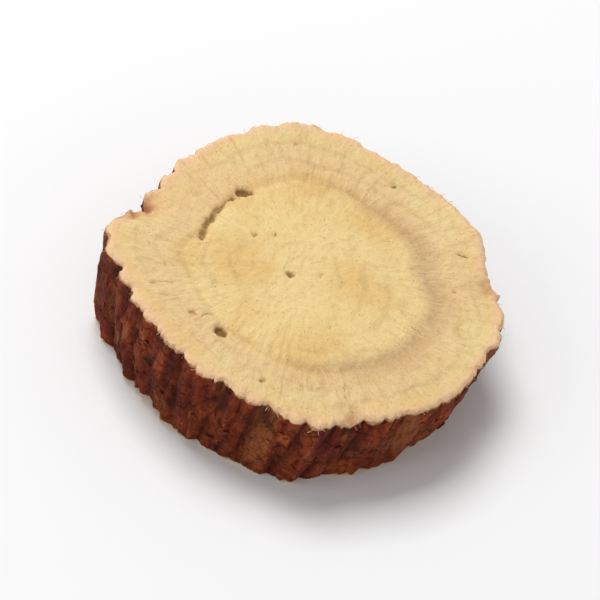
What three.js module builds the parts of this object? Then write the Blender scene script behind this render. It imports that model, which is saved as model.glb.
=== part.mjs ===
// A slice of dried licorice root, cut across the root and lying on its lower cut face.
// Millimetres. +Z is up and runs along the root, +X points to the sharp corner of the rim, and the origin
// lies under the middle of the slice. Turns are in degrees from +X, anticlockwise seen from above.
import * as THREE from "three";

// Driving dimensions
const thickness = 4.5; // between the two cut faces, at the pith
const wedge = 0.8; // the side away from the sharp corner is thicker than the corner by this much
const slant = [-0.3, -0.7]; // the cuts aren't square: the lower one lies this far along X and Y
const taper = 0.1; // the root narrows downwards by this share
const bulge = 0.14; // the bark swells between the cuts by this much
const edge = 0.13; // worn-off width of the two rims
const segments = 240; // steps round the slice

// The rim from corner to flat to corner: turn, and distance from the pith
const outline = [
  [5, 9.35],
  [24, 8.75],
  [38, 9.1],
  [70, 8.65],
  [101, 8.85],
  [126, 8.1],
  [152, 7.55],
  [169, 7.5],
  [187, 8.65],
  [205, 7.8],
  [240, 7.5],
  [264, 7.6],
  [290, 8.3],
  [301, 8.1],
  [332, 8.75],
  [352, 8.95],
];

// Bark: rounded ridges along the root with narrow furrows between them
const furrowCount = 31;
const furrowDepth = 0.3;
const shallowTurn = 35; // the furrows are shallowest on this side
const furrowWander = 0.24; // how far the ridges differ in width, in ridges
const furrowLean = 0.07; // how far they lean over a millimetre of height, in ridges

// Cut face: the wood stands a little proud of the inner bark, and the cambium ring between them is sunk
const cambiumShare = 0.635; // of the way from the pith to the rim
const growthShift = 0.035; // the rings lie this share nearer the rim on the side of the sharp corner
const cambiumWidth = 0.045;
const cambiumDepth = 0.07;
const crackTurn = 150; // the ring has split open on this side
const crackSpread = 24;
const crackDepth = 0.3;
const dish = 0.12; // how far the upper face sinks between the pith and the bark

// Places where the rim has broken away: turn, spread to each side, and depth
const upperChips = [
  [172, 6, 0.5],
  [299, 4, 0.22],
  [18, 4, 0.2],
];
const lowerChips = [
  [62, 7, 0.5],
  [226, 5, 0.4],
  [331, 6, 0.45],
];
const chipStart = 0.84; // share of the radius at which a chip begins

const radians = THREE.MathUtils.degToRad;

// Distance from the pith to the rim, by a smooth closed curve through the outline.
function rimRadius(turn) {
  const count = outline.length;
  const knot = (k) => {
    const [angle, radius] = outline[THREE.MathUtils.euclideanModulo(k, count)];
    return [angle + 360 * Math.floor(k / count), radius];
  };
  const first = outline[0][0];
  const at = THREE.MathUtils.euclideanModulo(turn - first, 360) + first;
  const k = outline.findLastIndex(([angle]) => angle <= at);
  const [before, from, to, after] = [k - 1, k, k + 1, k + 2].map(knot);
  const span = to[0] - from[0];
  const slopeFrom = ((to[1] - before[1]) / (to[0] - before[0])) * span;
  const slopeTo = ((after[1] - from[1]) / (after[0] - from[0])) * span;
  const t = (at - from[0]) / span;
  const eased = t * t * (3 - 2 * t);
  return (
    from[1] * (1 - eased) +
    to[1] * eased +
    slopeFrom * t * (1 - t) ** 2 -
    slopeTo * t * t * (1 - t)
  );
}

// How far a furrow cuts into the bark at this turn and height: 0 on a ridge's crest.
function furrow(turn, z) {
  const a = radians(turn);
  const spacing =
    furrowWander * (Math.sin(3 * a + 1.3) + 0.6 * Math.sin(5 * a + 0.4) + 0.4 * Math.sin(8 * a + 2.6));
  const lean = furrowLean * z * (Math.sin(2 * a + 0.9) + 0.5 * Math.sin(5 * a));
  const ridge = Math.abs(Math.sin(Math.PI * ((furrowCount * a) / (2 * Math.PI) + spacing + lean)));
  const side = 0.56 - 0.2 * Math.cos(a - radians(shallowTurn));
  const depth = furrowDepth * (side + 0.14 * Math.sin(4 * a + 1.1) + 0.1 * Math.sin(9 * a + 0.5 * z));
  return depth * (1 - ridge ** 0.6);
}

// Depth of the broken places in a rim at this turn.
function chipped(chips, turn) {
  const apart = (centre) => THREE.MathUtils.euclideanModulo(turn - centre + 180, 360) - 180;
  return chips.reduce((sum, [centre, spread, depth]) => sum + depth * Math.exp(-((apart(centre) / spread) ** 2)), 0);
}

// Height of the upper cut face at a share of the way from the pith to the rim.
function upperFace(share, turn, x, y) {
  const tilt = (-wedge * x) / (2 * rimRadius(180));
  const hollow = dish * THREE.MathUtils.smoothstep(share, 0.2, 0.9);
  const saw = 0.05 * Math.sin(0.55 * x + 0.3 * y + 0.6) + 0.035 * Math.sin(0.9 * y - 0.35 * x);
  const split = Math.exp(-(((turn - crackTurn) / crackSpread) ** 2));
  const ring = Math.exp(-(((share - cambiumShare) / cambiumWidth) ** 2));
  const chip = chipped(upperChips, turn) * THREE.MathUtils.smoothstep(share, chipStart, 1);
  return thickness + tilt + saw - hollow - ring * (cambiumDepth + crackDepth * split) - chip;
}

// The profile from the middle of the upper face, over the rim and down the bark, to the middle of the lower
// face: share of the radius, and share of the height between the two rims.
function profile() {
  const ring = [-0.08, -0.035, 0, 0.035, 0.08].map((step) => cambiumShare + step);
  const upper = [0, 0.12, 0.3, 0.46, ...ring, 0.82, 0.9, 0.96].map((share) => [share, 1]);
  const barkRows = 8;
  const bark = Array.from({ length: barkRows + 1 }, (_, row) => [1, 1 - row / barkRows]);
  const lower = [0.95, 0.6, 0.25, 0].map((share) => [share, 0]);
  return { upper, bark, lower };
}

// A lathed disc of that profile, each of whose points is then moved to its place on the slice.
function sliceGeometry() {
  const { upper, bark, lower } = profile();
  const rows = [...upper, ...bark, ...lower];
  const lastUpper = upper.length - 1;
  const firstLower = upper.length + bark.length;
  const disc = rows.map(([share, level]) => new THREE.Vector2(share, level));
  const geometry = new THREE.LatheGeometry(disc.reverse(), segments);
  const place = geometry.getAttribute("position");
  for (let i = 0; i < place.count; i++) {
    const row = rows.length - 1 - (i % rows.length);
    const turn = (360 * Math.floor(i / rows.length)) / segments;
    const [share, level] = rows[row];
    const a = radians(turn);
    const rim = rimRadius(turn);
    const reach = (s) => (s + growthShift * Math.cos(a) * 4 * s * (1 - s)) * rim;
    const top = (s) => upperFace(s, turn, reach(s) * Math.cos(a), reach(s) * Math.sin(a));
    let r = reach(share) - furrow(turn, level * thickness) * share ** 12;
    let z = 0;
    if (row <= lastUpper) z = top(share);
    else if (row < firstLower) {
      const low = edge + chipped(lowerChips, turn);
      z = low + (top(1) - edge - low) * level;
      r += bulge * 4 * level * (1 - level);
    }
    const down = 1 - level;
    r *= 1 - taper * down;
    place.setXYZ(i, r * Math.cos(a) + slant[0] * down, r * Math.sin(a) + slant[1] * down, z);
  }
  geometry.computeBoundingBox();
  const { min, max } = geometry.boundingBox;
  geometry.translate(-(min.x + max.x) / 2, -(min.y + max.y) / 2, 0);
  geometry.computeVertexNormals();
  return geometry;
}

const cutRoot = new THREE.MeshStandardMaterial({ color: 0xe6c68f, roughness: 0.85, metalness: 0 });

const slice = new THREE.Mesh(sliceGeometry(), cutRoot);
slice.name = "licorice_slice";

const group = new THREE.Group();
group.add(slice);

export default group;
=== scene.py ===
import math

import bpy
import numpy as np
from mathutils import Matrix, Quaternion, Vector, noise


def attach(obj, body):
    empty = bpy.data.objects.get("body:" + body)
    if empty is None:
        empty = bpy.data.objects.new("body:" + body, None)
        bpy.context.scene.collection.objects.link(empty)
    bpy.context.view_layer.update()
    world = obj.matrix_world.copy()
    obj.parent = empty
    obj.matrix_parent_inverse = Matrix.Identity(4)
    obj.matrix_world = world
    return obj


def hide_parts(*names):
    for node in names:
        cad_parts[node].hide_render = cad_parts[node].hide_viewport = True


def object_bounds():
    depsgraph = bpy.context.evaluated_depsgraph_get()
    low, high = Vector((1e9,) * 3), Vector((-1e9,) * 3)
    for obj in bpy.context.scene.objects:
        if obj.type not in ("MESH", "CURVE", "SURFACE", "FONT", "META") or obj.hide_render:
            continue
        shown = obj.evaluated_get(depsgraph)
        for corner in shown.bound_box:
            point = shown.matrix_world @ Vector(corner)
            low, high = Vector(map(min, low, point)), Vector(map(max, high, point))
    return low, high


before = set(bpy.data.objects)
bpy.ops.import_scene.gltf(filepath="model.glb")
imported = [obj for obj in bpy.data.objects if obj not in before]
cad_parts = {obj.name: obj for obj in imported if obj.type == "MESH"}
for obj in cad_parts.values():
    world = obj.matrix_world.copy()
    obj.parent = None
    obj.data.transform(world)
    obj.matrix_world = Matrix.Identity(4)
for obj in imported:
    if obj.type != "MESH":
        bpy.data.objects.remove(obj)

cad_low, cad_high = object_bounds()

# The slice: sawn from a dried licorice root, and lying loose on its lower cut. Bark, inner bark, cambium
# ring and wood grew as one, so it is one closed mesh, with the outline, furrows and chips of the solid and
# finer wrinkles, cork, rays, pits and cracks over them. Sizes are in mm from the pith, turns in degrees.
mm = 0.001
thickness = 4.5
wedge = 0.8
slant = (-0.3, -0.7)
taper = 0.1
bulge = 0.14
edge = 0.13
bark_drop = 0.12
outline = [
    (5, 9.35), (24, 8.75), (38, 9.1), (70, 8.65), (101, 8.85), (126, 8.1), (152, 7.55), (169, 7.5),
    (187, 8.65), (205, 7.8), (240, 7.5), (264, 7.6), (290, 8.3), (301, 8.1), (332, 8.75), (352, 8.95),
]
furrow_count = 31
furrow_depth = 0.3
shallow_turn = 35
furrow_wander = 0.24
furrow_lean = 0.07
cambium_share = 0.635
growth_shift = 0.035
cambium_width = 0.03
cambium_depth = 0.07
upper_chips = [(172, 6, 0.5), (299, 4, 0.22), (18, 4, 0.2)]
lower_chips = [(62, 7, 0.5), (226, 5, 0.4), (331, 6, 0.45)]
chip_start = 0.84

# Holes and cracks in the cut faces: turn and distance where each starts and ends, half width, and depth
upper_marks = [
    (241, 5.0, 240, 5.15, 0.34, 0.24), (221, 0.3, 213, 0.5, 0.22, 0.08), (17, 0.96, 20, 1.05, 0.14, 0.04),
    (127, 4.75, 134, 5.0, 0.25, 0.16), (139, 4.85, 175, 4.45, 0.24, 0.1), (147, 2.6, 148, 2.75, 0.15, 0.05),
    (130, 2.26, 129, 2.35, 0.12, 0.05), (269, 6.3, 268, 6.4, 0.17, 0.08), (67, 7.4, 66, 7.5, 0.14, 0.08),
    (103, 7.4, 102, 7.55, 0.15, 0.05), (207, 5.8, 206, 6.7, 0.08, 0.05), (214, 5.5, 213, 6.4, 0.07, 0.04),
    (229, 4.7, 228, 5.6, 0.07, 0.05), (350, 5.4, 349, 6.3, 0.07, 0.04), (301, 6.2, 300, 6.8, 0.07, 0.05),
    (225, 5.3, 224, 5.5, 0.2, 0.05), (32, 7.7, 31, 7.85, 0.14, 0.07), (16, 6.95, 15, 7.05, 0.14, 0.05),
]
lower_marks = [
    (35, 4.3, 37, 4.5, 0.3, 0.3), (160, 6.2, 161, 6.3, 0.2, 0.12), (290, 2.7, 289, 2.8, 0.16, 0.1),
    (110, 0.9, 112, 1.2, 0.22, 0.1), (236, 5.1, 262, 5.0, 0.13, 0.17), (80, 5.4, 80, 6.3, 0.08, 0.06),
]


def rim_radius(turn):
    """Distance from the pith to the rim, by a smooth closed curve through the outline."""
    angles = np.array([angle for angle, _ in outline], float)
    radii = np.array([radius for _, radius in outline])
    count = len(outline)
    at = (turn - angles[0]) % 360 + angles[0]
    here = np.searchsorted(angles, at, side="right") - 1

    def knot(index):
        return angles[index % count] + 360 * (index // count), radii[index % count]

    (a0, r0), (a1, r1), (a2, r2), (a3, r3) = (knot(here + step) for step in (-1, 0, 1, 2))
    span = a2 - a1
    slope_from = (r2 - r0) / (a2 - a0) * span
    slope_to = (r3 - r1) / (a3 - a1) * span
    t = (at - a1) / span
    eased = t * t * (3 - 2 * t)
    return r1 * (1 - eased) + r2 * eased + slope_from * t * (1 - t) ** 2 - slope_to * t * t * (1 - t)


def furrow(turn, z):
    """How far a furrow cuts into the bark: 0 on the crest of a ridge."""
    a = np.radians(turn)
    spacing = furrow_wander * (np.sin(3 * a + 1.3) + 0.6 * np.sin(5 * a + 0.4) + 0.4 * np.sin(8 * a + 2.6))
    lean = furrow_lean * z * (np.sin(2 * a + 0.9) + 0.5 * np.sin(5 * a))
    ridge = np.abs(np.sin(np.pi * (furrow_count * a / (2 * np.pi) + spacing + lean)))
    side = 0.56 - 0.2 * np.cos(a - math.radians(shallow_turn))
    depth = furrow_depth * (side + 0.14 * np.sin(4 * a + 1.1) + 0.1 * np.sin(9 * a + 0.5 * z))
    return depth * (1 - ridge ** 0.6)


def reach(share, turn):
    """Distance from the pith at a share of the way to the rim. Uneven growth shifts the rings off centre."""
    shifted = share + growth_shift * np.cos(np.radians(turn)) * 4 * share * (1 - share)
    return shifted * rim_radius(turn)


def slanted(r, level, turn):
    """Where a point at this distance from the pith lies along X and Y, at a level between the two cuts."""
    a = np.radians(turn)
    down = 1 - level
    r = r * (1 - taper * down)
    return r * np.cos(a) + slant[0] * down, r * np.sin(a) + slant[1] * down


def chipped(chips, turn):
    """Depth of the broken places in a rim."""
    return sum(depth * np.exp(-(((turn - centre + 180) % 360 - 180) / spread) ** 2)
               for centre, spread, depth in chips)


def smooth(x, low, high):
    """0 below low, 1 above high, and smooth between."""
    t = np.clip((x - low) / (high - low), 0, 1)
    return t * t * (3 - 2 * t)


def lumps(x, y, z):
    """Smooth noise, mostly within -0.6 to 0.6, with about one lump a unit. A constant that a caller adds to
    one of its places only picks another stretch of the noise."""
    points = np.stack(np.broadcast_arrays(x, y, z), -1).reshape(-1, 3)
    return np.array([noise.noise(point) for point in points])


def marked(x, y, marks, seed):
    """Depth of the holes and cracks at points of a cut face, and how much they are painted darker there:
    their own olive brown and painted shade, more where deeper.
    """
    wander = 0.16
    step = 0.06
    x = x + wander * (lumps(x * 1.5, y * 1.5, seed) + 0.6 * lumps(x * 3.6, y * 3.6, seed + 1))
    y = y + wander * (lumps(x * 1.5, y * 1.5, seed + 2) + 0.6 * lumps(x * 3.6, y * 3.6, seed + 3))
    depths, mark_darkness_and_shade = np.zeros(len(x)), np.zeros(len(x))
    for turn_from, r_from, turn_to, r_to, width, depth in marks:
        length = math.hypot(r_to - r_from, math.radians(turn_to - turn_from) * r_to)
        along = np.linspace(0, 1, 2 + int(length / step))
        turns = np.radians(turn_from + (turn_to - turn_from) * along)
        distances = r_from + (r_to - r_from) * along
        off = np.hypot(x[:, None] - distances * np.cos(turns), y[:, None] - distances * np.sin(turns))
        uneven = 1 - 0.25 * np.sin(5 * along + turn_from) - 0.15 * np.sin(13 * along)
        cut = 1 - smooth((off / (width * uneven)).min(1), 0.25, 1.0)
        depths = np.maximum(depths, depth * cut)
        # Painted shade: deeper holes and cracks are painted darker.
        mark_darkness_and_shade = np.maximum(mark_darkness_and_shade, min(1, 0.3 + depth * 2.2) * cut)
    return depths, mark_darkness_and_shade


def cut_relief(x, y, share, turn, marks, seed):
    """Fine height of a cut face, with how much its holes and cracks are painted darker: their own colour and
    painted shade.
    """
    a = np.radians(turn)
    inside = smooth(0.97 - share, 0.0, 0.12)
    drift = lumps(x * 0.45, y * 0.45, seed)
    rings = 0.005 * np.sin(2 * np.pi * (share * 8 + 1.9 * drift)) * smooth(share, 0.08, 0.2)
    streaks = lumps(np.cos(a) * 17 + drift, np.sin(a) * 17, share * 2.5 + seed)
    rays = 0.03 * streaks * smooth(share, 0.3, 0.65)
    blade = 0.006 * np.sin(2 * np.pi * (0.85 * x + 0.5 * y) / 1.15 + 2.5 * drift)
    fibre = 0.03 * lumps(x * 2.1, y * 2.1, seed + 5) + 0.026 * lumps(x * 4.4, y * 4.4, seed + 9)
    wobble = 0.014 * lumps(np.cos(a) * 3, np.sin(a) * 3, seed + 2) + 0.006 * streaks
    groove = np.exp(-((share - cambium_share - wobble) / cambium_width) ** 2)
    depths, mark_darkness_and_shade = marked(x, y, marks, seed + 20)
    return (rings + rays + fibre) * inside + blade - groove * cambium_depth - depths, mark_darkness_and_shade


# Lenticels, the raised pores of the bark: turn, height, half length round the root, half height
lenticel_count = 22
lenticel_ranges = [(0, 360), (0.8, 3.7), (0.35, 0.8), (0.1, 0.17)]
lenticel_draw = np.random.default_rng(41)
lenticels = [[lenticel_draw.uniform(*span) for span in lenticel_ranges] for _ in range(lenticel_count)]


def bark_relief(turn, r, z):
    """How far the bark stands out at a point, with what its colours follow: how deep in a furrow the point
    is, how bare of cork, and how much on a lenticel. Wrinkles and creases run along the root, scores and
    splits are cracks round and along it, and a sheet of cork has come off where it is bare."""
    a = np.radians(turn)
    x, y = r * np.cos(a), r * np.sin(a)
    sway = 0.45 * lumps(x * 0.6, y * 0.6, z * 0.55 + 3)
    wrinkle = np.abs(lumps(x * 1.35 + sway, y * 1.35, z * 0.28 + 11))
    crease = np.abs(lumps(x * 3.1 + sway, y * 3.1, z * 0.5 + 17))
    grain = lumps(x * 5.0, y * 5.0, z * 2.6 + 23)
    level = z * 1.7 + 0.8 * lumps(x * 0.55, y * 0.55, 31.0) + 0.5 * wrinkle
    score = np.abs(lumps(x * 0.6, y * 0.6, level + 37))
    scored = (1 - smooth(score, 0.0, 0.05)) * smooth(lumps(x * 0.9, y * 0.9, z * 0.6 + 41), -0.02, 0.2)
    split = np.abs(lumps(x * 2.2 + sway, y * 2.2, z * 0.9 + 43))
    split = (1 - smooth(split, 0.0, 0.05)) * smooth(lumps(x * 0.9, y * 0.9, z * 0.8 + 59), -0.1, 0.15)
    sheet = lumps(x * 0.75, y * 0.75, z * 0.2 + 47) + 0.3 * lumps(x * 2.6, y * 2.6, z * 0.8 + 53)
    bare = smooth(sheet + 0.35 * wrinkle, 0.38, 0.44)
    raised, slit = np.zeros(len(x)), np.zeros(len(x))
    for centre, height, length, tall in lenticels:
        round_way = np.radians((turn - centre + 180) % 360 - 180) * r / length
        up = (z - height + 0.06 * sway) / tall
        raised = np.maximum(raised, np.exp(-round_way ** 2 - up ** 2))
        slit = np.maximum(slit, np.exp(-(round_way * 1.3) ** 2 - (up * 3.2) ** 2))
    calm = 0.76 - 0.26 * np.cos(a - math.radians(shallow_turn))
    out = calm * (0.36 * (wrinkle - 0.24) + 0.16 * (crease - 0.24)) + 0.04 * grain
    out = out - 0.07 * scored - 0.07 * split - 0.08 * bare + 0.045 * raised - 0.05 * slit
    creased = (1 - smooth(wrinkle, 0.0, 0.08)) * 0.8 + (1 - smooth(crease, 0.0, 0.07)) * 0.45
    creased = creased + 0.7 * scored + 0.6 * split
    return out, {"deep": np.clip(creased + 0.6 * slit, 0, 1), "bare": bare, "lenticel": raised}


def ring_rows():
    """The rings of points from the middle of the upper face, over the rim and down the bark, to the middle
    of the lower face: part, share of the radius, level between the cuts, and number of points. They lie
    closest over the worn rims."""
    def count(share, finest=640):
        return finest if share > 0.5 else finest // 2 if share > 0.24 else finest // 4

    upper = [*np.linspace(0.013, 0.958, 72), 0.966, 0.974, 0.981, 0.9875, 0.993, 0.9975]
    rim = [0.9975, 0.992, 0.983, 0.972, 0.961]
    lower = np.linspace(0.95, 0.02, 44)
    rows = [("upper", share, 1.0, count(share)) for share in upper]
    rows += [("bark", 1.0, level, count(1.0)) for level in np.linspace(1, 0, 76)]
    rows += [("lower", share, 0.0, count(share)) for share in rim]
    return rows + [("lower", share, 0.0, count(share, 320)) for share in lower]


def grown_ring(part, share, level, count):
    """Places of a ring's points, where it lies on its cut face, and the numbers that the materials, flakes
    and fibres read."""
    turn = np.arange(count) * 360 / count
    a = np.radians(turn)
    flat_x, flat_y = reach(share, turn) * np.cos(a), reach(share, turn) * np.sin(a)
    nick = 0.6 * lumps(np.cos(a) * 9, np.sin(a) * 9, 61.0)
    nick = nick + 0.5 * lumps(np.cos(a) * 28, np.sin(a) * 28, 67.0)
    ragged = 0.1 * np.maximum(nick, 0) * smooth(share, 0.962, 1.0)
    tear = 1 + 0.9 * lumps(flat_x * 1.6, flat_y * 1.6, 71.0) + 0.6 * lumps(flat_x * 3.4, flat_y * 3.4, 73.0)
    upper_chip = chipped(upper_chips, turn) * smooth(share, chip_start, 1) * tear
    lower_chip = chipped(lower_chips, turn) * smooth(share, 0.9, 1) * tear
    worn = edge * (1 - math.sqrt(1 - smooth(share, 0.958, 1.0) ** 2))
    numbers = {"share": np.full(count, share), "dark": np.zeros(count), "torn": np.zeros(count)}

    def upper_height():
        """The upper cut slopes by the wedge, sinks a little towards the bark and shows the saw's waves."""
        fine, mark_darkness_and_shade = cut_relief(flat_x, flat_y, share, turn, upper_marks, 2.0)
        tilt = -wedge * flat_x / (2 * rim_radius(180))
        saw = 0.05 * np.sin(0.55 * flat_x + 0.3 * flat_y + 0.6)
        saw = saw + 0.035 * np.sin(0.9 * flat_y - 0.35 * flat_x)
        drop = bark_drop * smooth(share, 0.2, 0.9)
        return thickness + tilt + saw - drop + fine - upper_chip - worn - ragged, mark_darkness_and_shade

    def lower_height():
        """The lower cut lies on what stands proudest of it, and the rest is slightly hollow."""
        proudest = 0.05
        fine, mark_darkness_and_shade = cut_relief(-flat_x, flat_y, share, turn, lower_marks, 30.0)
        hollows = np.clip(proudest - fine, 0, None) * smooth(1 - share, 0.0, 0.04)
        return hollows + lower_chip + worn + ragged, mark_darkness_and_shade

    r = reach(share, turn) - furrow(turn, level * thickness) * share ** 12
    if part == "bark":
        z = lower_height()[0] * (1 - level) + upper_height()[0] * level
        r = r + bulge * 4 * level * (1 - level)
    else:
        z, numbers["dark"] = upper_height() if part == "upper" else lower_height()
        numbers["torn"] = np.clip(2.2 * (upper_chip if part == "upper" else lower_chip), 0, 1)
    out, bark_numbers = bark_relief(turn, rim_radius(turn), z)
    r = r + out * smooth(share, 0.93, 1.0)
    numbers |= bark_numbers
    # How deep in a furrow or crease a point lies; the bark material paints shade by it.
    in_furrow = furrow(turn, level * thickness) / furrow_depth
    numbers["deep"] = np.clip(numbers["deep"] + 1.1 * in_furrow, 0, 1)
    on_bark = 1.0 if part == "bark" else 0.0
    pale = 1 - smooth((1 - level) * thickness + 0.25 * nick, 0.02, 0.1)
    pale_low = 1 - smooth(level * thickness + 0.25 * nick + 0.06, 0.02, 0.1)
    numbers["pale_edge"] = np.maximum(pale, pale_low)
    off_rims = smooth(level * (1 - level), 0.09, 0.16)
    numbers["flaky"] = off_rims * smooth(-numbers["deep"], -0.6, -0.2) * on_bark
    numbers["frayed"] = np.full(count, float(share > 0.98 and level > 0.97))
    x, y = slanted(r, level, turn)
    return np.stack([x, y, z], 1), np.stack([flat_x, flat_y], 1), numbers


def ring_faces(counts):
    """Faces between neighbouring rings, as point numbers, with each corner's row and turn to unwrap by. The
    first point is the middle of the upper face, and the last one the middle of the lower."""
    starts = np.cumsum([1] + counts).tolist()
    faces, corners = [], []

    def add(*points):
        faces.append([starts[row] + step % counts[row] for row, step in points])
        corners.append([(row, step / counts[row]) for row, step in points])

    def side(row, i, finer):
        """A ring's points along a face: three where it has twice the points of the ring beside it."""
        return [(row, 2 * i + step) for step in range(3)] if finer else [(row, i), (row, i + 1)]

    for row, (here, there) in enumerate(zip(counts, counts[1:])):
        for i in range(min(here, there)):
            add(*reversed(side(row, i, here > there)), *side(row + 1, i, there > here))
    for middle, row, order in [(0, 0, (0, 1)), (starts[-1], len(counts) - 1, (1, 0))]:
        for i in range(counts[row]):
            steps = [i + step for step in order]
            faces.append([middle] + [starts[row] + step % counts[row] for step in steps])
            corners.append([(row, None)] + [(row, step / counts[row]) for step in steps])
    return faces, corners


def unwrapped(rows, flats, corners):
    """Places in the unit square: the two cut faces side by side, and the bark in two strips under them, each
    with the narrow faces over both rims."""
    gap = 0.02
    disc_size = 0.0262
    disc_middles = {"upper": (0.252, 0.73), "lower": (0.748, 0.73)}
    strip_height = 0.21
    over_rim = 0.03
    places = []
    for face in corners:
        parts = {rows[row][0] for row, _ in face}
        strip = int(sum(turn or 0 for _, turn in face) / len(face) >= 0.5)
        for row, turn in face:
            part, _, level, count = rows[row]
            if "bark" in parts:
                level = {"upper": 1 + over_rim, "lower": -over_rim}.get(part, level)
                along = gap / 2 + (1 - gap) * (2 * turn - strip)
                places.append((along, gap + strip * (strip_height + gap) + level * strip_height))
            else:
                x, y = (0, 0) if turn is None else flats[row][round(turn * count) % count]
                middle_x, middle_y = disc_middles[part]
                places.append((middle_x + x * disc_size, middle_y + y * disc_size))
    return places


# The solid stands with the middle of its box over the origin, and its bark has these rows and steps round
solid_rows = 9
solid_steps = 240


def grown_slice(name):
    """The mesh of the slice in the solid's own place, with its attributes, its unwrap and the material of
    each face."""
    rows = ring_rows()
    counts = [count for _, _, _, count in rows]
    rings, flats, numbers = zip(*[grown_ring(*row) for row in rows])
    points = np.concatenate([rings[0].mean(0)[None], *rings, rings[-1].mean(0)[None]])
    faces, corners = ring_faces(counts)

    level, turn = np.meshgrid(np.linspace(0, 1, solid_rows), np.arange(solid_steps) * 360 / solid_steps)
    plain = rim_radius(turn) - furrow(turn, level * thickness) + bulge * 4 * level * (1 - level)
    x, y = slanted(plain, level, turn)
    points = points - [(x.min() + x.max()) / 2, (y.min() + y.max()) / 2, points[:, 2].min()]

    mesh = bpy.data.meshes.new(name)
    mesh.from_pydata((points * mm).tolist(), [], faces)
    for key in numbers[0]:
        values = [ring[key] for ring in numbers]
        values = np.concatenate([values[0][:1], *values, values[-1][:1]]).astype(np.float32)
        mesh.attributes.new(key, "FLOAT", "POINT").data.foreach_set("value", values)
    turns = [np.arange(count) * 2 * np.pi / count for count in counts]
    toward = [np.stack([np.cos(a), np.sin(a), a * 0], 1) for a in turns]
    toward = np.concatenate([np.zeros((1, 3)), *toward, np.zeros((1, 3))]).astype(np.float32)
    mesh.attributes.new("toward", "FLOAT_VECTOR", "POINT").data.foreach_set("vector", toward.ravel())
    unwrap = mesh.uv_layers.new(name="OFBake")
    unwrap.uv.foreach_set("vector", np.array(unwrapped(rows, flats, corners)).ravel())
    on_bark = [int(any(rows[row][0] == "bark" for row, _ in face)) for face in corners]
    mesh.polygons.foreach_set("material_index", on_bark)
    mesh.polygons.foreach_set("use_smooth", [True] * len(faces))
    mesh.update()
    return mesh


def put_in_scene(name, data):
    made = bpy.data.objects.new(name, data)
    bpy.context.scene.collection.objects.link(made)
    return made


root_slice = put_in_scene("root_slice", grown_slice("root_slice"))


def seen(red, green, blue):
    """A colour as the eye sees it, from 0 to 255, in the numbers that a shader takes."""
    shares = [part / 255 for part in (red, green, blue)]
    return (*[part / 12.92 if part <= 0.04045 else ((part + 0.055) / 1.055) ** 2.4 for part in shares], 1)


class Socket:
    """A node's output. Python's operators on it add Math nodes, and node() adds any other node."""

    def __init__(self, tree, output=None):
        self.tree = tree
        self.output = output

    def node(self, kind, settings=None, inputs=None, output=0):
        made = self.tree.nodes.new(kind)
        for name, value in (settings or {}).items():
            setattr(made, name, value)
        for name, value in (inputs or {}).items():
            if isinstance(value, Socket):
                self.tree.links.new(value.output, made.inputs[name])
            else:
                made.inputs[name].default_value = value
        return Socket(self.tree, made.outputs[output] if made.outputs else None)

    def maths(self, operation, *values):
        return self.node("ShaderNodeMath", {"operation": operation}, dict(enumerate(values)))

    def __add__(self, other):
        return self.maths("ADD", self, other)

    def __sub__(self, other):
        return self.maths("SUBTRACT", self, other)

    def __rsub__(self, other):
        return self.maths("SUBTRACT", other, self)

    def __mul__(self, other):
        return self.maths("MULTIPLY", self, other)

    def __abs__(self):
        return self.maths("ABSOLUTE", self)

    __radd__ = __add__
    __rmul__ = __mul__

    def between(self, low, high):
        """0 below low, 1 above high, and smooth between."""
        return self.node("ShaderNodeMapRange", {"interpolation_type": "SMOOTHSTEP"},
                         {"Value": self, "From Min": low, "From Max": high})

    def over(self, ground, colour):
        """The colour laid over the ground, as strongly as this number says."""
        return self.node("ShaderNodeMix", {"data_type": "RGBA"}, {0: self, 6: ground, 7: colour}, 2)


def number(tree, name):
    return tree.node("ShaderNodeAttribute", {"attribute_name": name}, output="Fac")


def place_in_mm(tree, stretch=(1, 1, 1)):
    coordinates = tree.node("ShaderNodeTexCoord", output="Object")
    scale = [part / mm for part in stretch]
    return tree.node("ShaderNodeMapping", {}, {"Vector": coordinates, "Scale": scale})


def speckle(tree, places, scale, detail=2.0, roughness=0.55, distortion=0.0):
    return tree.node("ShaderNodeTexNoise", {}, {"Vector": places, "Scale": scale, "Detail": detail,
                                                "Roughness": roughness, "Distortion": distortion}, "Fac")


def new_material(name):
    material = bpy.data.materials.new(name)
    material.use_nodes = True
    material.node_tree.nodes.clear()
    return material, Socket(material.node_tree)


def finish_material(tree, colour, roughness, height, bump_distance, specular):
    bump = tree.node("ShaderNodeBump", {}, {"Height": height, "Distance": bump_distance})
    surface = tree.node("ShaderNodeBsdfPrincipled", {}, {"Base Color": colour, "Roughness": roughness,
                                                         "Normal": bump, "Specular IOR Level": specular})
    tree.node("ShaderNodeOutputMaterial", {}, {"Surface": surface})


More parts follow.
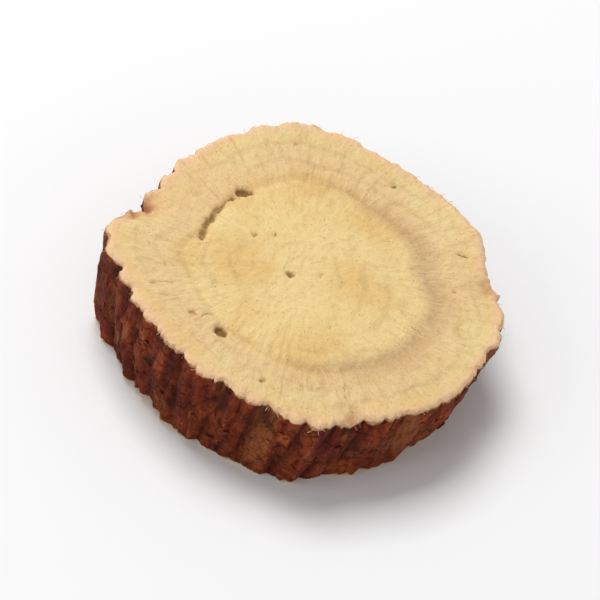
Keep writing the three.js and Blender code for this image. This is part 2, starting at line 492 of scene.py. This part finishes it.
def cut_root_material():
    """Dry wood and inner bark, sawn across: cream yellow with fine rays, faint rings, a greyer cambium ring,
    a pinkish rim and brown where it has torn. The holes and cracks are olive brown, their own colour and
    painted shade, darker where deeper, with a painted brown shadow round them."""
    cream = seen(240, 210, 147)
    straw = seen(232, 193, 124)
    flesh = seen(234, 198, 146)
    ring_grey = seen(192, 152, 116)
    lemon = seen(233, 211, 146)
    rim_pink = seen(240, 196, 154)
    ray_brown = seen(190, 150, 92)
    chalk = seen(248, 230, 186)
    olive = seen(112, 82, 36)
    torn_and_shadow_brown = seen(176, 112, 62)

    material, tree = new_material("cut_root")
    places = place_in_mm(tree)
    share = number(tree, "share")
    toward = tree.node("ShaderNodeAttribute", {"attribute_name": "toward"}, output="Vector")
    off_share = (speckle(tree, places, 0.55, 3) - 0.5) * 0.06
    growth = share + off_share
    spoke = tree.node("ShaderNodeVectorMath", {"operation": "SCALE"}, {"Vector": toward, "Scale": 24.0})
    outward = tree.node("ShaderNodeCombineXYZ", {}, {"X": off_share * 14, "Z": share * 6})
    along_rays = tree.node("ShaderNodeVectorMath", {"operation": "ADD"}, {0: spoke, 1: outward})
    rays = speckle(tree, along_rays, 1.0, 3, 0.6)
    fine_rays = speckle(tree, along_rays, 3.0, 2, 0.6)
    grain = speckle(tree, places, 6.0, 4, 0.7)
    powder = speckle(tree, places, 17.0, 2, 0.6)
    blotch = speckle(tree, places, 0.3, 3, 0.55)
    pores = tree.node("ShaderNodeTexVoronoi", {}, {"Vector": places, "Scale": 4.6}, "Distance")
    pore_strength = (1 - pores.between(0.03, 0.13)) * speckle(tree, places, 1.3, 2).between(0.45, 0.62)

    colour = blotch.between(0.36, 0.66).over(cream, straw)
    inner_bark = growth.between(0.65, 0.71) * (1 - growth.between(0.86, 0.94))
    colour = (inner_bark * 0.7).over(colour, flesh)
    outer_bark = growth.between(0.72, 0.8) * (1 - growth.between(0.92, 0.97))
    colour = (outer_bark * speckle(tree, places, 0.45, 2).between(0.42, 0.6) * 0.45).over(colour, lemon)
    edge_share = share + (speckle(tree, places, 0.8, 3) - 0.5) * 0.14
    colour = (edge_share.between(0.9, 0.98) * 0.8).over(colour, rim_pink)
    rings = tree.node("ShaderNodeMath", {"operation": "SINE"}, {0: growth * 56 + blotch * 7})
    faint = speckle(tree, places, 0.24, 2).between(0.42, 0.62)
    rings = rings.between(0.45, 1.0) * faint * (1 - growth.between(0.84, 0.92))
    colour = (rings * 0.26).over(colour, ray_brown)
    to_corner = tree.node("ShaderNodeSeparateXYZ", {}, {0: toward}, "X")
    toward_corner = (to_corner + blotch).between(0.4, 1.3)
    off_ring = abs(growth - (cambium_share + 0.005))
    narrow = (1 - off_ring.between(0.004, 0.035)) * (0.5 + toward_corner * 0.3)
    broad = (1 - off_ring.between(0.02, 0.11)) * toward_corner
    colour = (broad * 0.5).over(colour, ring_grey)
    colour = (narrow * 0.4).over(colour, ring_grey)
    colour = (rays.between(0.52, 0.72) * share.between(0.25, 0.7) * 0.35).over(colour, ray_brown)
    colour = (fine_rays.between(0.52, 0.72) * share.between(0.3, 0.7) * 0.35).over(colour, chalk)
    colour = (speckle(tree, places, 1.7, 4, 0.65).between(0.5, 0.74) * 0.25).over(colour, ray_brown)
    colour = (grain.between(0.52, 0.72) * 0.34).over(colour, ray_brown)
    colour = (powder.between(0.56, 0.76) * 0.4).over(colour, chalk)
    colour = (pore_strength * 0.6).over(colour, olive)
    colour = (number(tree, "torn") * (rays * 0.6 + 0.5)).over(colour, torn_and_shadow_brown)
    # How much each hole and crack is painted darker, more where deeper: its own colour and painted shade.
    dark = number(tree, "dark")
    # A painted soft brown shadow round each hole and crack.
    colour = (dark.between(0.04, 0.7) * 0.55).over(colour, torn_and_shadow_brown)
    # The olive core of each hole and crack: its own colour and painted shade.
    ragged = dark + (speckle(tree, places, 4.0, 3, 0.6) - 0.5) * 0.7
    colour = (ragged.between(0.2, 0.66) * 0.85).over(colour, olive)
    height = (rays * 0.45 + fine_rays * 0.2) * share.between(0.15, 0.6)
    height = height + grain * 0.6 + powder * 0.18 - pore_strength * 0.5
    finish_material(tree, colour, grain * 0.2 + 0.7, height, 0.085 * mm, 0.25)
    return material


def bark_material():
    """Dry cork: maroon to red-brown, with painted shade nearly black in the furrows, creases and cracks,
    pale dusty specks on the crests that are partly a painted highlight, orange-brown where a sheet of it has
    come off, and pale at the very edge, where the saw tore it from the inner bark."""
    maroon = seen(106, 34, 15)
    red_brown = seen(154, 64, 27)
    orange = seen(196, 101, 46)
    plum = seen(110, 36, 32)
    near_black_and_shade = seen(46, 18, 7)
    bare_brown = seen(156, 90, 50)
    pore_tan = seen(150, 100, 68)
    dust_and_highlight = seen(166, 108, 84)
    rim_pink = seen(226, 178, 134)

    material, tree = new_material("bark")
    places = place_in_mm(tree)
    along = place_in_mm(tree, (1, 1, 0.2))
    patches = speckle(tree, places, 0.4, 4, 0.6)
    streaks = speckle(tree, along, 2.2, 4, 0.65, 0.3)
    fine_streaks = speckle(tree, along, 7.0, 3, 0.6)
    grain = speckle(tree, places, 9.0, 3, 0.65)
    crumbs = speckle(tree, places, 21.0, 2, 0.6)
    deep = number(tree, "deep")
    bare = number(tree, "bare")
    swirl = tree.node("ShaderNodeTexNoise", {}, {"Vector": places, "Scale": 2.4, "Detail": 3.0}, "Color")
    stretched = place_in_mm(tree, (1, 1, 0.55))
    wandering = tree.node("ShaderNodeVectorMath", {"operation": "ADD"}, {0: stretched, 1: swirl})
    plates = {"Vector": wandering, "Scale": 1.5}
    gap = tree.node("ShaderNodeTexVoronoi", {"feature": "DISTANCE_TO_EDGE"}, plates, "Distance")
    plate = tree.node("ShaderNodeTexVoronoi", {}, plates, "Color")
    tone = tree.node("ShaderNodeSeparateXYZ", {}, {0: plate}, "X")
    crackle = (1 - gap.between(0.0, 0.1)) * speckle(tree, places, 1.1, 2).between(0.44, 0.6)

    colour = patches.between(0.38, 0.62).over(maroon, red_brown)
    colour = (speckle(tree, places, 0.7, 3).between(0.5, 0.66) * 0.6).over(colour, plum)
    colour = (streaks.between(0.52, 0.72) * (1 - deep) * 0.55).over(colour, orange)
    colour = (tone.between(0.62, 0.78) * patches.between(0.4, 0.6) * 0.4).over(colour, orange)
    colour = ((1 - tone.between(0.2, 0.34)) * 0.3).over(colour, near_black_and_shade)
    colour = (fine_streaks.between(0.5, 0.7) * 0.4).over(colour, red_brown)
    colour = (grain.between(0.5, 0.72) * 0.3).over(colour, maroon)
    colour = (bare * (streaks * 0.5 + 0.4)).over(colour, bare_brown)
    colour = (number(tree, "lenticel") * 0.4).over(colour, pore_tan)
    # Pale specks on the ridge crests, away from the furrows: partly dusty cork, partly a painted highlight.
    colour = (crumbs.between(0.52, 0.7) * streaks.between(0.4, 0.65) * (1 - deep) * 0.5).over(colour, dust_and_highlight)
    colour = ((1 - streaks.between(0.3, 0.42)) * 0.35).over(colour, near_black_and_shade)
    colour = (crackle * 0.3).over(colour, near_black_and_shade)
    # Painted shade: the furrows, creases, cracks and lenticel slits darkened nearly to black.
    colour = (deep * 0.7).over(colour, near_black_and_shade)
    colour = (number(tree, "pale_edge") * (grain * 0.5 + 0.6)).over(colour, rim_pink)
    height = streaks * 0.7 + fine_streaks * 0.55 + grain * 0.55 + crumbs * 0.25 + tone * 0.3 - crackle * 0.4
    finish_material(tree, colour, grain * 0.3 + 0.5, height, 0.1 * mm, 0.12)
    return material


cut_root = cut_root_material()
bark = bark_material()
root_slice.data.materials.append(cut_root)
root_slice.data.materials.append(bark)
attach(root_slice, "root")
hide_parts("licorice_slice")


# Cork flakes: thin scales of dead cork that have come half loose from the bark in drying and handling, and
# still hang on it by one side. They are cork, as the bark is.
flake_sizes = {"Flakes per m2": 1.5e6, "Length": 0.5 * mm, "Width": 0.22 * mm, "Thickness": 0.022 * mm,
               "Curl": 600.0}


def growth_tree(name, sizes):
    """A Geometry Nodes tree with a mesh and named sizes as its inputs. Gives it with those inputs."""
    group = bpy.data.node_groups.new(name, "GeometryNodeTree")
    group.interface.new_socket("Mesh", in_out="INPUT", socket_type="NodeSocketGeometry")
    for size in sizes:
        group.interface.new_socket(size, in_out="INPUT", socket_type="NodeSocketFloat")
    group.interface.new_socket("Mesh", in_out="OUTPUT", socket_type="NodeSocketGeometry")
    entry = group.nodes.new("NodeGroupInput")
    return Socket(group), {socket.name: Socket(group, socket) for socket in entry.outputs if socket.name}


def end_tree(tree, instances, material, shake):
    """Ends a tree: the instances are made real, shaken out of their sameness, and given their material."""
    real = tree.node("GeometryNodeRealizeInstances", {}, {"Geometry": instances})
    place = tree.node("GeometryNodeInputPosition")
    swirl = tree.node("ShaderNodeTexNoise", {}, {"Vector": place, "Scale": 2200.0, "Detail": 1.0}, "Color")
    centred = tree.node("ShaderNodeVectorMath", {"operation": "SUBTRACT"}, {0: swirl, 1: (0.5, 0.5, 0.5)})
    offset = tree.node("ShaderNodeVectorMath", {"operation": "SCALE"}, {"Vector": centred, "Scale": shake})
    shaken = tree.node("GeometryNodeSetPosition", {}, {"Geometry": real, "Offset": offset})
    painted = tree.node("GeometryNodeSetMaterial", {}, {"Geometry": shaken, "Material": material})
    tree.node("NodeGroupOutput", {}, {"Mesh": painted})


def grown_on_slice(name, tree, sizes):
    """An object with what a tree grows on the slice. It starts with the slice's own mesh, which the tree
    turns into its pieces, and ends with those pieces as a plain mesh."""
    piece = put_in_scene(name, root_slice.data)
    grower = piece.modifiers.new(name, "NODES")
    grower.node_group = tree.tree
    for socket in tree.tree.interface.items_tree:
        if socket.name in sizes:
            grower[socket.identifier] = sizes[socket.name]
    evaluated = piece.evaluated_get(bpy.context.evaluated_depsgraph_get())
    mesh = bpy.data.meshes.new_from_object(evaluated)
    piece.modifiers.remove(grower)
    piece.data = mesh
    return piece


def scattered(tree, entry, where, density, seed):
    """Points scattered over the slice where an attribute says, with the normal at each."""
    share = tree.node("GeometryNodeInputNamedAttribute", {"data_type": "FLOAT"}, {"Name": where})
    spread = tree.node("GeometryNodeDistributePointsOnFaces", {}, {
        "Mesh": entry["Mesh"], "Density": share * density, "Seed": seed})
    return spread, Socket(tree.tree, spread.output.node.outputs["Normal"])


def flake_tree(sizes):
    tree, entry = growth_tree("cork_flakes", sizes)
    points, normal = scattered(tree, entry, "flaky", entry["Flakes per m2"], 5)
    ball = tree.node("GeometryNodeMeshIcoSphere", {}, {"Radius": 0.5, "Subdivisions": 3})
    size = tree.node("ShaderNodeCombineXYZ", {}, {"X": entry["Width"], "Y": entry["Length"],
                                                  "Z": entry["Thickness"]})
    flat = tree.node("GeometryNodeTransform", {}, {"Geometry": ball, "Scale": size})
    x = tree.node("ShaderNodeSeparateXYZ", {}, {0: tree.node("GeometryNodeInputPosition")}, "X")
    y = tree.node("ShaderNodeSeparateXYZ", {}, {0: tree.node("GeometryNodeInputPosition")}, "Y")
    curl = tree.node("ShaderNodeCombineXYZ", {}, {"Z": (x * x + y * y) * entry["Curl"]})
    curled = tree.node("GeometryNodeSetPosition", {}, {"Geometry": flat, "Offset": curl})
    facing = tree.node("FunctionNodeAlignRotationToVector", {"axis": "Z"}, {"Vector": normal})
    upright = tree.node("FunctionNodeAlignRotationToVector", {"axis": "Y", "pivot_axis": "Z"},
                        {"Rotation": facing, "Vector": (0, 0, 1)})
    turn = tree.node("FunctionNodeRandomValue", {"data_type": "FLOAT_VECTOR"},
                     {0: (-0.2, -0.2, -0.5), 1: (0.2, 0.2, 0.5), "Seed": 6})
    turned = tree.node("FunctionNodeRotateRotation", {"rotation_space": "LOCAL"}, {0: upright, 1: turn})
    spread = tree.node("FunctionNodeRandomValue", {"data_type": "FLOAT_VECTOR"},
                       {0: (0.5, 0.4, 0.8), 1: (1.7, 1.5, 1.5), "Seed": 7})
    instances = tree.node("GeometryNodeInstanceOnPoints", {}, {
        "Points": points, "Instance": curled, "Rotation": turned, "Scale": spread})
    end_tree(tree, instances, bark, 0.16 * mm)
    return tree


cork_flakes = grown_on_slice("cork_flakes", flake_tree(flake_sizes), flake_sizes)
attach(cork_flakes, "root")


# Bast fibres: short ends of the tough fibres of the inner bark, which the saw pulled out along the upper
# rim instead of cutting. They are rooted in the slice, and the same pale stuff as its cut face.
fibre_sizes = {"Fibres per m2": 7.0e6, "Length": 0.3 * mm, "Thickness": 0.01 * mm}


def fibre_tree(sizes):
    tree, entry = growth_tree("bast_fibres", sizes)
    points, normal = scattered(tree, entry, "frayed", entry["Fibres per m2"], 11)
    hook = tree.node("GeometryNodeCurvePrimitiveBezierSegment", {}, {
        "Resolution": 5, "Start": (0, 0, -0.1), "Start Handle": (0, 0, 0.3), "End Handle": (0.1, 0, 0.6),
        "End": (0.35, 0.1, 0.75)})
    along = tree.node("GeometryNodeSplineParameter", output="Factor")
    tapered = tree.node("GeometryNodeSetCurveRadius", {}, {"Curve": hook, "Radius": 1 - along * 0.75})
    section = tree.node("GeometryNodeCurvePrimitiveCircle", {}, {
        "Resolution": 5, "Radius": entry["Thickness"]})
    size = tree.node("ShaderNodeCombineXYZ", {}, {"X": entry["Length"], "Y": entry["Length"],
                                                  "Z": entry["Length"]})
    sized = tree.node("GeometryNodeTransform", {}, {"Geometry": tapered, "Scale": size})
    fibre = tree.node("GeometryNodeCurveToMesh", {}, {
        "Curve": sized, "Profile Curve": section, "Fill Caps": True})
    lean = tree.node("FunctionNodeRandomValue", {"data_type": "FLOAT_VECTOR"},
                     {0: (-0.9, -0.9, -1.3), 1: (0.9, 0.9, -0.5), "Seed": 12})
    leaning = tree.node("ShaderNodeVectorMath", {"operation": "ADD"}, {0: normal, 1: lean})
    facing = tree.node("FunctionNodeAlignRotationToVector", {"axis": "Z"}, {"Vector": leaning})
    spread = tree.node("FunctionNodeRandomValue", {"data_type": "FLOAT"}, {2: 0.35, 3: 1.1, "Seed": 13}, 1)
    instances = tree.node("GeometryNodeInstanceOnPoints", {}, {
        "Points": points, "Instance": fibre, "Rotation": facing, "Scale": spread})
    end_tree(tree, instances, cut_root, 0.12 * mm)
    return tree


bast_fibres = grown_on_slice("bast_fibres", fibre_tree(fibre_sizes), fibre_sizes)
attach(bast_fibres, "root")


# The studio: a plain pale floor, one broad soft light above and behind, a weak one at the left front, and
# a camera that looks down on the slice as the photograph does. Distances are in metres, turns in degrees.
view_turn = 0
view_height = 48
view_roll = 16
view_distance = 0.36
view_width = 26 * mm
sensor_mm = 36
floor_reach = 2.0
floor_grey = 0.93
room_light = 0.4

floor_corners = [(x * floor_reach, y * floor_reach, 0) for x, y in [(-1, -1), (1, -1), (1, 1), (-1, 1)]]
floor_mesh = bpy.data.meshes.new("floor")
floor_mesh.from_pydata(floor_corners, [], [(0, 1, 2, 3)])
floor = put_in_scene("floor", floor_mesh)
floor_material, floor_tree = new_material("floor")
floor_surface = floor_tree.node("ShaderNodeBsdfPrincipled", {}, {
    "Base Color": (floor_grey, floor_grey, floor_grey, 1), "Roughness": 0.8})
floor_tree.node("ShaderNodeOutputMaterial", {}, {"Surface": floor_surface})
floor_mesh.materials.append(floor_material)


def soft_light(name, place, size, watts):
    lamp = bpy.data.lights.new(name, "AREA")
    lamp.size = size
    lamp.energy = watts
    light = put_in_scene(name, lamp)
    light.location = place
    light.rotation_mode = "QUATERNION"
    light.rotation_quaternion = Vector(place).to_track_quat("Z", "Y")


soft_light("light_above", (-0.12, 0.14, 0.34), 0.2, 1.05)
soft_light("light_left", (-0.30, -0.20, 0.20), 0.25, 0.25)

world = bpy.data.worlds.new("studio")
world.use_nodes = True
background = world.node_tree.nodes["Background"]
background.inputs["Color"].default_value = (1, 1, 1, 1)
background.inputs["Strength"].default_value = room_light
bpy.context.scene.world = world
bpy.context.scene.view_settings.view_transform = "Standard"

camera = put_in_scene("camera", bpy.data.cameras.new("camera"))
camera.data.sensor_width = sensor_mm
camera.data.lens = sensor_mm * view_distance / view_width
camera.data.clip_start = 0.01
target = (cad_low + cad_high) / 2
height_angle, turn_angle = math.radians(view_height), math.radians(view_turn)
toward_camera = Vector((math.sin(turn_angle) * math.cos(height_angle),
                        -math.cos(turn_angle) * math.cos(height_angle), math.sin(height_angle)))
camera.location = target + toward_camera * view_distance
camera.rotation_mode = "QUATERNION"
level_look = toward_camera.to_track_quat("Z", "Y")
camera.rotation_quaternion = level_look @ Quaternion((0, 0, 1), math.radians(view_roll))
bpy.context.scene.camera = camera
